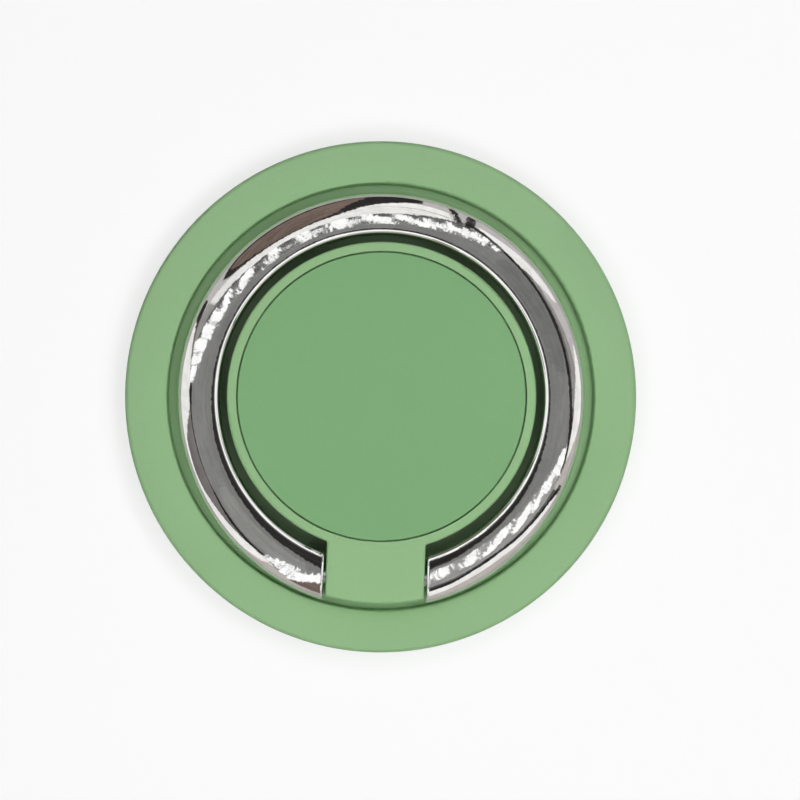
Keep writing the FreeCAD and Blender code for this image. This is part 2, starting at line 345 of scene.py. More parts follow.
chromeLook = {
    "tone": (0.90, 0.895, 0.89),
    "deeperTone": (0.84, 0.835, 0.83),
    "roughness": 0.045,
    "roughSpread": 0.02,
    "rippleScale": 900,      # ripples of about a millimetre
    "rippleDepth": 0.0035,   # mm
    "pitScale": 3000,
    "pitDepth": 0.0026,      # mm
}


def makeChrome(look):
    # polished plating over a cast ring: faintly rippled, finely pitted
    material, tree = newMaterial("ringChrome")
    place = objectPlace(tree)
    ripple = noiseNode(tree, place, look["rippleScale"], 2)
    pits = noiseNode(tree, place, look["pitScale"], 0.5)
    rippleBump = bumpNode(tree, ripple, look["rippleDepth"])
    pitBump = bumpNode(tree, pits, look["pitDepth"])
    feed(tree, rippleBump.outputs[0], pitBump.inputs["Normal"])
    colour = mixColour(tree, rangeNode(tree, ripple, 0.35, 0.65, 0, 1), look["tone"], look["deeperTone"])
    rough = rangeNode(tree, pits, 0.4, 0.7, look["roughness"], look["roughness"] + look["roughSpread"])
    finishSurface(tree, {"Metallic": 1, "Base Color": colour, "Roughness": rough,
                         "Normal": pitBump.outputs[0]})
    return material


lowHub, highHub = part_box("hub")

basePaintLook = {
    "tone": (146, 188, 135), "deeperTone": (141, 182, 130), "grainSize": 1.0,
    "roughness": 0.5, "bump": 0.25, "bumpDepth": 0.012,
    # painted shade: the base plate is darker low down near the hub, in the gap under the ring
    "paintedShadeTone": (112, 138, 103), "grooveInner": 0, "grooveOuter": highHub.x + 1.1 * mm,
    "grooveTop": highHub.z,
}
hubPaintLook = {
    "tone": (148, 191, 136), "deeperTone": (144, 186, 132), "grainSize": 1.0,
    "roughness": 0.45, "bump": 0.25, "bumpDepth": 0.012,
    # painted shade: the hub's side wall is darker low down, in the gap beside the ring
    "paintedShadeTone": (112, 138, 103), "grooveInner": highHub.x - 0.5 * mm,
    "grooveOuter": highHub.x + 0.8 * mm, "grooveTop": highHub.z - 0.25 * mm,
}
inlayPaintLook = {
    "tone": (124, 175, 118), "deeperTone": (121, 170, 115), "grainSize": 1.3,
    "roughness": 0.55, "bump": 0.25, "bumpDepth": 0.01,
}
bareSteelLook = {
    "tone": (0.62, 0.62, 0.63), "deeperTone": (0.45, 0.45, 0.46), "roughness": 0.28,
    "bump": 0.2, "lineDepth": 0.01,
}
springSteelLook = {
    "tone": (0.42, 0.41, 0.42), "deeperTone": (0.28, 0.28, 0.30), "roughness": 0.36,
    "bump": 0.2, "lineDepth": 0.01,
}

basePaint = makePaint("basePaint", basePaintLook)
hubPaint = makePaint("hubPaint", hubPaintLook)
inlayPaint = makePaint("inlayPaint", inlayPaintLook)
ringChrome = makeChrome(chromeLook)
bareSteel = makeSteel("bareSteel", bareSteelLook)
springSteel = makeSteel("springSteel", springSteelLook)

slipPlasticLook = {
    "tone": (0.82, 0.81, 0.76), "deeperTone": (0.70, 0.69, 0.64), "roughness": 0.42, "roughSpread": 0.12,
    "cloudScale": 1400, "glow": 0.08, "glowDepth": 0.5 * mm,
}


def makeSlipPlastic(look):
    # natural slippery plastic: waxy, faintly cloudy
    material, tree = newMaterial("slipPlastic")
    cloud = noiseNode(tree, objectPlace(tree), look["cloudScale"], 4)
    mask = rangeNode(tree, cloud, 0.35, 0.7, 0, 1)
    finishSurface(tree, {
        "Base Color": mixColour(tree, mask, look["tone"], look["deeperTone"]),
        "Roughness": rangeNode(tree, cloud, 0.3, 0.7, look["roughness"],
                               look["roughness"] + look["roughSpread"]),
        "Subsurface Weight": look["glow"], "Subsurface Scale": look["glowDepth"]})
    return material


filmLook = {
    "tone": (0.80, 0.80, 0.76), "deeperTone": (0.68, 0.68, 0.62), "roughness": 0.18,
    "bubbleScale": 700, "bubbleDepth": 0.01,
}


def makeFilm(look):
    # clear adhesive film, milky where it holds small bubbles
    material, tree = newMaterial("clearFilm")
    mask = rangeNode(tree, cellNode(tree, objectPlace(tree), look["bubbleScale"]), 0.05, 0.35, 1, 0)
    finishSurface(tree, {
        "Base Color": mixColour(tree, mask, look["tone"], look["deeperTone"]), "Roughness": look["roughness"],
        "Normal": bumpNode(tree, mask, look["bubbleDepth"]).outputs[0]})
    return material


foamLook = {
    "tone": (0.085, 0.088, 0.092), "deeperTone": (0.035, 0.036, 0.038), "roughness": 0.82,
    "roughSpread": 0.08, "poreScale": 4200, "poreDepth": 0.03, "bump": 0.6, "patchScale": 260,
}


def makeFoam(look):
    # closed-cell foam: small pores that are darker and lower than the skin between them
    material, tree = newMaterial("adhesiveFoam")
    place = objectPlace(tree)
    poreMask = rangeNode(tree, cellNode(tree, place, look["poreScale"]), 0.08, 0.45, 1, 0)
    patches = noiseNode(tree, place, look["patchScale"], 5)
    mask = mathNode(tree, "MAXIMUM", poreMask, rangeNode(tree, patches, 0.35, 0.7, 0, 0.5))
    bump = bumpNode(tree, poreMask, look["poreDepth"], look["bump"], invert=True)
    finishSurface(tree, {
        "Base Color": mixColour(tree, mask, look["tone"], look["deeperTone"]),
        "Roughness": rangeNode(tree, patches, 0.3, 0.7, look["roughness"] - look["roughSpread"],
                               look["roughness"] + look["roughSpread"]),
        "Normal": bump.outputs[0]})
    return material


slipPlastic = makeSlipPlastic(slipPlasticLook)
clearFilm = makeFilm(filmLook)
adhesiveFoam = makeFoam(foamLook)

finishes = {
    "adhesive_pad": adhesiveFoam,
    "back_cover": bareSteel,
    "base_plate": basePaint,
    "bearing_bush": slipPlastic,
    "slip_washer": slipPlastic,
    "wave_washer": springSteel,
    "retaining_washer": bareSteel,
    "centre_rivet": bareSteel,
    "hub": hubPaint,
    "inlay_film": clearFilm,
    "inlay_disc": inlayPaint,
    "ring": ringChrome,
    "hinge_pin": bareSteel,
    "friction_sleeve": springSteel,
}
for nodeName, material in finishes.items():
    slots = nodes[nodeName].data.materials
    slots.clear()
    slots.append(material)
print("materials made:", len(bpy.data.materials))


paintedPieces = {
    # copy of the node's form, merged so that its rounded edges shade smoothly
    "basePlateSmooth": {"node": "base_plate", "body": "base", "slot": "base_paint", "sharpAngle": 32},
    "hubSmooth": {"node": "hub", "body": "hub", "slot": "hub_paint", "sharpAngle": 32},
    "inlaySmooth": {"node": "inlay_disc", "body": "hub", "slot": "inlay_paint", "sharpAngle": 32},
}


def makeSmoothCopy(name, look):
    source = nodes[look["node"]]
    makeActive(source)
    bpy.ops.object.duplicate()
    piece = bpy.context.active_object
    piece.name = name
    piece.parent = None
    for key in list(piece.keys()):
        del piece[key]
    bpy.ops.object.mode_set(mode="EDIT")
    bpy.ops.mesh.select_all(action="SELECT")
    bpy.ops.mesh.remove_doubles(threshold=weld)
    bpy.ops.mesh.customdata_custom_splitnormals_clear()
    bpy.ops.object.mode_set(mode="OBJECT")
    bpy.ops.object.shade_smooth_by_angle(angle=math.radians(look["sharpAngle"]))
    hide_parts(look["node"])
    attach(piece, look["body"])


for pieceName, pieceLook in paintedPieces.items():
    makeSmoothCopy(pieceName, pieceLook)
print("painted pieces done")


lowRing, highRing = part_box("ring")

ringLook = {
    "outer": highRing.y,             # radius on the far side
    "width": 3.13 * mm,
    "halfHeight": (highRing.z - lowRing.z) / 2,
    "middleZ": (highRing.z + lowRing.z) / 2,
    "flankRadius": 4.0 * mm,         # inner side, which the finger touches
    "crestRound": 0.38 * mm,         # narrow round between inner side and crown
    "flareInner": 0.28 * mm,         # how far it widens towards the hinge
    "flareOuter": 0.65 * mm,
    "endX": 3.83 * mm,               # half the gap that the tab fills
    "endRound": 0.16 * mm,
    "endStrip": 0.2 * mm,            # plain strip at each end, which the round takes up
    "pinHole": 0.56 * mm,
    "pinSpace": 0.3 * mm,
    "steps": 288,
    "gapShare": 0.5,                 # of the gap at the tab, left open before the ends are cut
    "cutFrom": -1 * mm,              # the cut for an end reaches this far past the middle
    "cutTo": 7 * mm,                 # and this far along the ring
    "halfSteps": 48,                 # of the crown's profile
    "crestSteps": 20,
    "flankSteps": 16,
    "endSteps": 6,
    "pinHoleSteps": 64,
    "sharpAngle": 40,
}
# reach and rise: how far the crest round's centre lies from the flank's centre, and above the middle
# crownWidth: from the crest to the outer edge
ringLook["reach"] = ringLook["flankRadius"] - ringLook["crestRound"]
ringLook["rise"] = ringLook["halfHeight"] - ringLook["crestRound"]
ringLook["crownWidth"] = ringLook["width"] - ringLook["flankRadius"] + math.sqrt(
    ringLook["reach"] ** 2 - ringLook["rise"] ** 2)


def flareAt(share):
    # how far the ring widens towards the hinge, at a share of the way across its band
    return ringLook["flareInner"] + (ringLook["flareOuter"] - ringLook["flareInner"]) * share


def makeRing(look):
    inner = look["outer"] - look["width"]
    half = look["halfHeight"]
    z = look["middleZ"]
    rise = look["rise"]
    flank = inner + look["flankRadius"]
    crown = flank - math.sqrt(look["reach"] ** 2 - rise ** 2)
    slope = math.asin(rise / look["reach"])

    # profile: a circle of the ring's height, its outer half widened into half an ellipse
    bpy.ops.mesh.primitive_circle_add(vertices=2 * look["halfSteps"], radius=half, location=(crown, 0, z),
                                      rotation=(math.pi / 2, 0, 0))
    ring = bpy.context.active_object
    ring.name = "fingerRing"
    placeInMesh(ring)
    bpy.ops.object.mode_set(mode="EDIT")
    selectVertices(ring, lambda co: co.x > crown + tiny)
    bpy.ops.transform.resize(value=((look["outer"] - crown) / half, 1, 1), center_override=(crown, 0, z))
    # the inner half goes, and the crest and the inner flank are turned in its place
    selectVertices(ring, lambda co: co.x < crown - tiny)
    bpy.ops.mesh.delete(type="VERT")
    selectVertices(ring, lambda co: co.z > z + half - tiny)
    for steps, angle, centre in (
        (look["crestSteps"], math.pi / 2 - slope, (crown, 0, z + rise)),
        (look["flankSteps"], 2 * slope, (flank, 0, z)),
        (look["crestSteps"], math.pi / 2 - slope, (crown, 0, z - rise)),
    ):
        bpy.ops.mesh.spin(steps=steps, angle=angle, center=centre, axis=(0, 1, 0))
    bpy.ops.mesh.select_all(action="SELECT")
    bpy.ops.mesh.remove_doubles(threshold=weld)

    # turned round the hub, a little past both ends (a positive spin angle goes clockwise)
    gapAngle = math.asin(look["endX"] / look["outer"]) * look["gapShare"]
    bpy.ops.mesh.select_all(action="SELECT")
    bpy.ops.transform.rotate(value=math.pi / 2 + gapAngle, orient_axis="Z", center_override=(0, 0, 0))
    bpy.ops.mesh.spin(steps=look["steps"], angle=2 * math.pi - 2 * gapAngle, center=(0, 0, 0), axis=(0, 0, 1))

    # the near half widens towards the hinge, its outer side more than its inner side
    lines = {}
    for vertex in editedPoints(ring):
        if vertex.co.y < -tiny:
            lines.setdefault(round(math.hypot(vertex.co.x, vertex.co.y) / mm, 3), set()).add(vertex.index)
    for radius, points in lines.items():
        flare = flareAt((radius * mm - inner) / look["width"])
        selectPoints(ring, points)
        bpy.ops.transform.resize(value=(1, 1 + flare / (radius * mm), 1), center_override=(0, 0, 0))

    # both ends are cut flat beside the tab and their rims rounded
    endTurn = look["endX"] / (look["outer"] - look["width"] / 2)
    for side in (1, -1):
        cutX = side * (look["endX"] + look["endStrip"])
        selectVertices(ring, lambda co: co.y < 0 and look["cutFrom"] < co.x * side < look["cutTo"])
        bpy.ops.mesh.bisect(plane_co=(cutX, 0, 0), plane_no=(side, 0, 0), clear_inner=True, threshold=tiny)
        selectVertices(ring, lambda co: co.y < 0 and abs(co.x - cutX) < tiny)
        bpy.ops.mesh.extrude_region_move(TRANSFORM_OT_translate={
            "value": (-side * look["endStrip"], -endTurn * look["endStrip"], 0)})
        bpy.ops.mesh.edge_face_add()
    bpy.ops.mesh.select_all(action="SELECT")
    bpy.ops.mesh.normals_make_consistent(inside=False)
    for side in (1, -1):
        selectVertices(ring, lambda co: co.y < 0 and abs(co.x - side * look["endX"]) < 10 * tiny)
        bpy.ops.mesh.bevel(offset=look["endRound"], segments=look["endSteps"], profile=0.5, affect="EDGES")
    bpy.ops.object.mode_set(mode="OBJECT")
    return ring


def drillPinHoles(ring, look):
    # a blind hole in each end face, which the steel pin fills
    lowPin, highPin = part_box("hinge_pin")
    axis = (lowPin + highPin) / 2
    length = highPin.x - lowPin.x + look["pinSpace"]
    bpy.ops.mesh.primitive_cylinder_add(vertices=look["pinHoleSteps"], radius=look["pinHole"], depth=length,
                                        location=(0, axis.y, axis.z), rotation=(0, math.pi / 2, 0))
    drill = bpy.context.active_object
    makeActive(ring)
    cut = ring.modifiers.new("pinHoles", "BOOLEAN")
    cut.operation = "DIFFERENCE"
    cut.solver = "EXACT"
    cut.object = drill
    bpy.ops.object.modifier_apply(modifier=cut.name)
    bpy.data.objects.remove(drill)


ring = makeRing(ringLook)
drillPinHoles(ring, ringLook)
makeActive(ring)
bpy.ops.object.shade_smooth_by_angle(angle=math.radians(ringLook["sharpAngle"]))
ring.data.materials.clear()
ring.data.materials.append(ringChrome)
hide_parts("ring")
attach(ring, "ring")
print("finger ring done")


studioLook = {
    "turn": 2.05,            # degrees that the object is turned clockwise in the picture
    "pixel": 0.07418 * mm,   # size of one pixel at the rim's height
    "centre": (381.15, 396.65),
    "distance": 450 * mm,
    "lean": (-0.027, -0.008),  # to the picture's right and up, per unit of distance
    "picture": 800,
    "sensor": 36,
    "clipStart": 0.01,
}


def makeCamera(look):
    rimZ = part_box("base_plate")[1].z
    turn = math.radians(look["turn"])
    right = Vector((math.cos(turn), math.sin(turn), 0))
    up = Vector((-math.sin(turn), math.cos(turn), 0))
    lean = right * look["lean"][0] + up * look["lean"][1]
    away = (lean + Vector((0, 0, 1))).normalized()
    fromMiddle = [(look["picture"] / 2 - place) * look["pixel"] for place in look["centre"]]
    aim = right * fromMiddle[0] - up * fromMiddle[1]
    aim.z = rimZ
    data = bpy.data.cameras.new("photoCamera")
    camera = bpy.data.objects.new("photoCamera", data)
    bpy.context.scene.collection.objects.link(camera)
    side = up.cross(away).normalized()
    top = away.cross(side).normalized()
    turned = Matrix((side, top, away)).transposed().to_4x4()
    camera.matrix_world = Matrix.Translation(aim + away * look["distance"]) @ turned
    data.sensor_width = look["sensor"]
    data.lens = look["sensor"] * look["distance"] / (look["picture"] * look["pixel"])
    data.clip_start = look["clipStart"]
    bpy.context.scene.camera = camera


makeCamera(studioLook)


unevenLook = {"Broad": {"scale": 2.6, "detail": 1}, "Fine": {"scale": 34, "detail": 3}}


def makeUnevenLight(look):
    # broad and fine unevenness of what the chrome mirrors, around 1
    group, entry, leave = makeGroup("unevenLight", {"Broad": "Float", "Fine": "Float"}, {"Light": "Float"})
    place = objectPlace(group)
    light = 1.0
    for name, noiseLook in look.items():
        noise = noiseNode(group, place, noiseLook["scale"], noiseLook["detail"])
        spread = rangeNode(group, noise, 0.3, 0.7, -1, 1, smooth=False)
        light = mathNode(group, "ADD", mathNode(group, "MULTIPLY", spread, entry.outputs[name]), light)
    feed(group, light, leave.inputs["Light"])
    return group


unevenLight = makeUnevenLight(unevenLook)
rimStrength = 1.1


def makeRimLight():
    # white on the side that faces the ring, clear from the other
    material, tree = newMaterial("rimLight")
    glow = addNode(tree, "ShaderNodeEmission")
    glow.inputs["Strength"].default_value = rimStrength
    clear = addNode(tree, "ShaderNodeBsdfTransparent")
    backfacing = addNode(tree, "ShaderNodeNewGeometry").outputs["Backfacing"]
    finishShader(tree, mixShaders(tree, backfacing, glow, clear))
    return material


def makeCardMaterial(name, colour, strength, broad, fine):
    material, tree = newMaterial(name)
    glow = addNode(tree, "ShaderNodeEmission")
    feed(tree, colour, glow.inputs["Color"])
    uneven = addEffect(tree, unevenLight, {"Broad": broad, "Fine": fine})
    feed(tree, mathNode(tree, "MULTIPLY", uneven["Light"], strength), glow.inputs["Strength"])
    finishShader(tree, glow)
    return material


cardFinishes = {
    # colour, strength, broad and fine unevenness
    "white": ((1, 1, 1), 1.15, 0, 0.04),
    "daylight": ((0.93, 0.925, 0.90), 1, 0.05, 0.10),
    "grey": ((0.235, 0.235, 0.226), 1, 0.07, 0.12),
    "dimGrey": ((0.185, 0.187, 0.180), 1, 0, 0.12),
    "lightGrey": ((0.285, 0.287, 0.272), 1, 0, 0.12),
    "haze": ((0.34, 0.335, 0.32), 1, 0.1, 0.15),
    "paleGrey": ((0.55, 0.53, 0.52), 1, 0, 0.08),
    "warmGrey": ((0.20, 0.187, 0.178), 1, 0.2, 0.12),
    "slateGrey": ((0.12, 0.12, 0.117), 1, 0, 0.5),
    "roseGrey": ((0.52, 0.48, 0.45), 1, 0.08, 0.1),
    "pinkGrey": ((0.36, 0.325, 0.30), 1, 0.1, 0.12),
    "black": ((0.027, 0.026, 0.025), 1, 0, 0.4),
    "brown": ((0.185, 0.138, 0.116), 1, 0.12, 0.25),
}
cardMaterials = {finish: makeCardMaterial(finish + "Card", *look) for finish, look in cardFinishes.items()}

# What the chrome mirrors. A card is set out by where it shows on the folded ring: each row holds a
# direction in degrees, anticlockwise from the picture's right, and two places across the ring's
# crown, 0 at its crest and 1 at its outer edge. A later card hangs nearer and hides earlier ones.
studioCards = {
    "ceiling": ("grey", [(0, 0, 0.60), (10, 0, 0.57), (50, 0, 0.61), (61, 0, 0.69), (70, 0, 0.62),
        (150, 0, 0.66), (172, 0, 0.66), (182, 0, 0.665), (200, 0, 0.66), (210, 0, 0.66), (220, 0, 0.695),
        (230, 0, 0.717), (240, 0, 0.74), (252, 0, 0.68), (285, 0, 0.70), (300, 0, 0.64), (310, 0, 0.66),
        (315, 0, 0.70), (325, 0, 0.765), (335, 0, 0.86), (337, 0, 0.74), (345, 0, 0.72), (350, 0, 0.68),
        (360, 0, 0.60)]),
    "rightDim": ("dimGrey", [(8, 0.30, 0.50), (14, 0.15, 0.56), (30, 0.10, 0.56), (42, 0.10, 0.56),
        (49, 0.20, 0.50)]),
    "leftSheen": ("lightGrey", [(207, 0.34, 0.50), (214, 0.30, 0.62), (225, 0.30, 0.66), (235, 0.30, 0.60),
        (245, 0.38, 0.50)]),
    "rightWall": ("warmGrey", [(-24, 0.60, 0.98), (62, 0.60, 0.98)]),
    "rightShelf": ("roseGrey", [(-26, 0.74, 0.98), (-12, 0.80, 0.98), (0, 0.88, 0.98), (14, 0.90, 0.98)]),
    "rightMist": ("haze", [(-3, 0.66, 0.72), (5, 0.67, 0.77), (10, 0.68, 0.80), (20, 0.67, 0.79),
        (30, 0.65, 0.75), (38, 0.645, 0.70)]),
    "rightHaze": ("paleGrey", [(8, 0.79, 0.95), (15, 0.765, 0.95), (30, 0.70, 0.95), (45, 0.72, 0.95),
        (61, 0.74, 0.95)]),
    "rightGlow": ("daylight", [(-17, 0.76, 0.78), (-13, 0.735, 0.83), (-8, 0.725, 0.88), (-4, 0.72, 0.91),
        (0, 0.72, 0.91), (5, 0.765, 0.91), (11, 0.815, 0.895), (15, 0.86, 0.88)]),
    "rightWindow": ("daylight", [(28, 0.84, 0.87), (34, 0.73, 0.87), (44, 0.64, 0.84), (50, 0.66, 0.80),
        (56, 0.70, 0.78), (60, 0.74, 0.77)]),
    "rightEdge": ("black", [(-22, 0.725, 0.745), (-15, 0.695, 0.745), (-10, 0.65, 0.725), (-5, 0.615, 0.69),
        (0, 0.585, 0.65), (10, 0.56, 0.635), (30, 0.56, 0.63), (45, 0.58, 0.635), (50, 0.605, 0.655),
        (56, 0.655, 0.695), (61, 0.68, 0.725)]),
    "backWall": ("paleGrey", [(61, 0.62, 0.93), (160, 0.66, 0.93)]),
    "backWindow": ("daylight", [(68.5, 0.62, 0.77), (72, 0.556, 0.79), (76, 0.515, 0.795),
        (80, 0.485, 0.784), (85, 0.457, 0.75), (96, 0.442, 0.66), (103, 0.414, 0.58), (115, 0.425, 0.56),
        (125, 0.442, 0.58), (130, 0.457, 0.60), (135, 0.485, 0.64), (140, 0.528, 0.69), (145, 0.584, 0.74),
        (150, 0.627, 0.784), (156, 0.70, 0.82)]),
    "backBlind": ("pinkGrey", [(69, 0.655, 0.67), (80, 0.655, 0.665), (92, 0.63, 0.635)]),
    "darkScreen": ("black", [(77, 0.82, 0.90), (80, 0.80, 0.905), (85, 0.755, 0.91), (90, 0.715, 0.91),
        (93, 0.68, 0.91), (96, 0.65, 0.91), (99, 0.605, 0.91), (103, 0.56, 0.91), (108, 0.54, 0.91),
        (115, 0.53, 0.91), (120, 0.54, 0.91), (125, 0.56, 0.91), (130, 0.59, 0.905), (135, 0.637, 0.90),
        (139, 0.69, 0.88), (141, 0.73, 0.85), (143, 0.79, 0.81)]),
    "brownScreen": ("brown", [(94, 0.87, 0.90), (99, 0.77, 0.89), (103, 0.64, 0.885), (106, 0.59, 0.88),
        (112, 0.565, 0.88), (118, 0.565, 0.88), (124, 0.585, 0.88), (130, 0.63, 0.875), (135, 0.70, 0.87),
        (139, 0.79, 0.85)]),
    "rightPole": ("black", [(61, 0.70, 0.90), (61.8, 0.61, 0.91), (63.5, 0.61, 0.91), (64.2, 0.61, 0.72)]),
    "innerPole": ("black", [(64.6, 0.60, 0.68), (65.6, 0.61, 0.76), (66.6, 0.63, 0.86), (67.4, 0.72, 0.91),
        (68.4, 0.84, 0.91), (69.4, 0.89, 0.91)]),
    "leftHaze": ("haze", [(151, 0.64, 0.80), (160, 0.66, 0.86), (173, 0.66, 0.72)]),
    "leftWindow": ("daylight", [(158, 0.86, 0.905), (165, 0.79, 0.91), (172, 0.715, 0.91),
        (182, 0.705, 0.91), (186, 0.78, 0.91), (191, 0.875, 0.905)]),
    "leftBeam": ("brown", [(155, 0.81, 0.86), (160, 0.80, 0.835), (166, 0.75, 0.77), (173, 0.69, 0.705)]),
    "leftPole": ("black", [(150.5, 0.85, 0.905), (153, 0.82, 0.91), (156, 0.83, 0.91), (159, 0.83, 0.86)]),
    "leftWall": ("warmGrey", [(183, 0.67, 0.70), (187, 0.67, 0.79), (191, 0.67, 0.86), (200, 0.66, 0.875),
        (210, 0.67, 0.86), (220, 0.71, 0.80), (227, 0.73, 0.76)]),
    "leftGlow": ("daylight", [(198, 0.885, 0.90), (205, 0.865, 0.91), (210, 0.83, 0.91), (215, 0.80, 0.91),
        (220, 0.775, 0.91), (226, 0.745, 0.90), (231, 0.70, 0.86), (235, 0.64, 0.79), (238, 0.62, 0.74)]),
    "leftEdge": ("black", [(174, 0.665, 0.675), (177, 0.64, 0.705), (181, 0.64, 0.70), (184, 0.655, 0.68),
        (195, 0.655, 0.675), (204, 0.655, 0.665), (210, 0.65, 0.69), (216, 0.665, 0.72), (224, 0.685, 0.74),
        (231, 0.69, 0.745), (233.5, 0.64, 0.68)]),
    "nearShelf": ("roseGrey", [(200, 0.92, 0.98), (226, 0.90, 0.98), (231, 0.86, 0.98), (235, 0.79, 0.98),
        (252, 0.80, 0.99), (284, 0.80, 0.99), (305, 0.77, 0.98), (325, 0.85, 0.98), (336, 0.86, 0.98)]),
    "nearGlow": ("daylight", [(283, 0.76, 0.86), (290, 0.745, 0.835), (300, 0.70, 0.80), (310, 0.705, 0.80),
        (315, 0.735, 0.83), (320, 0.765, 0.845), (325, 0.79, 0.86), (330, 0.82, 0.88), (334, 0.87, 0.895)]),
    "nearShade": ("slateGrey", [(283, 0.61, 0.72), (290, 0.60, 0.70), (300, 0.57, 0.66), (310, 0.58, 0.66),
        (320, 0.64, 0.72), (330, 0.71, 0.79), (334, 0.76, 0.83)]),
    "nearEdge": ("black", [(283, 0.71, 0.765), (285, 0.70, 0.755), (290, 0.69, 0.745), (295, 0.67, 0.72),
        (300, 0.635, 0.69), (305, 0.63, 0.69), (310, 0.635, 0.69), (315, 0.675, 0.73), (320, 0.70, 0.755),
        (325, 0.735, 0.785), (330, 0.765, 0.815), (334, 0.81, 0.89), (335.6, 0.83, 0.91)]),
    "nearCorner": ("brown", [(242, 0.80, 0.87), (245, 0.78, 0.875), (253, 0.60, 0.87)]),
    "cameraBack": ("black", [(-10, 0, 0.08), (0, 0, 0.065), (30, 0, 0.055), (90, 0, 0.05), (140, 0, 0.06),
        (160, 0, 0.08), (180, 0, 0.125), (195, 0, 0.165), (215, 0, 0.185), (230, 0, 0.235), (240, 0, 0.25),
        (247, 0, 0.30), (252, 0, 0.36), (284, 0, 0.24), (292, 0, 0.22), (302, 0, 0.18), (320, 0, 0.165),
        (332, 0, 0.155), (342, 0, 0.12), (350, 0, 0.08)]),
}

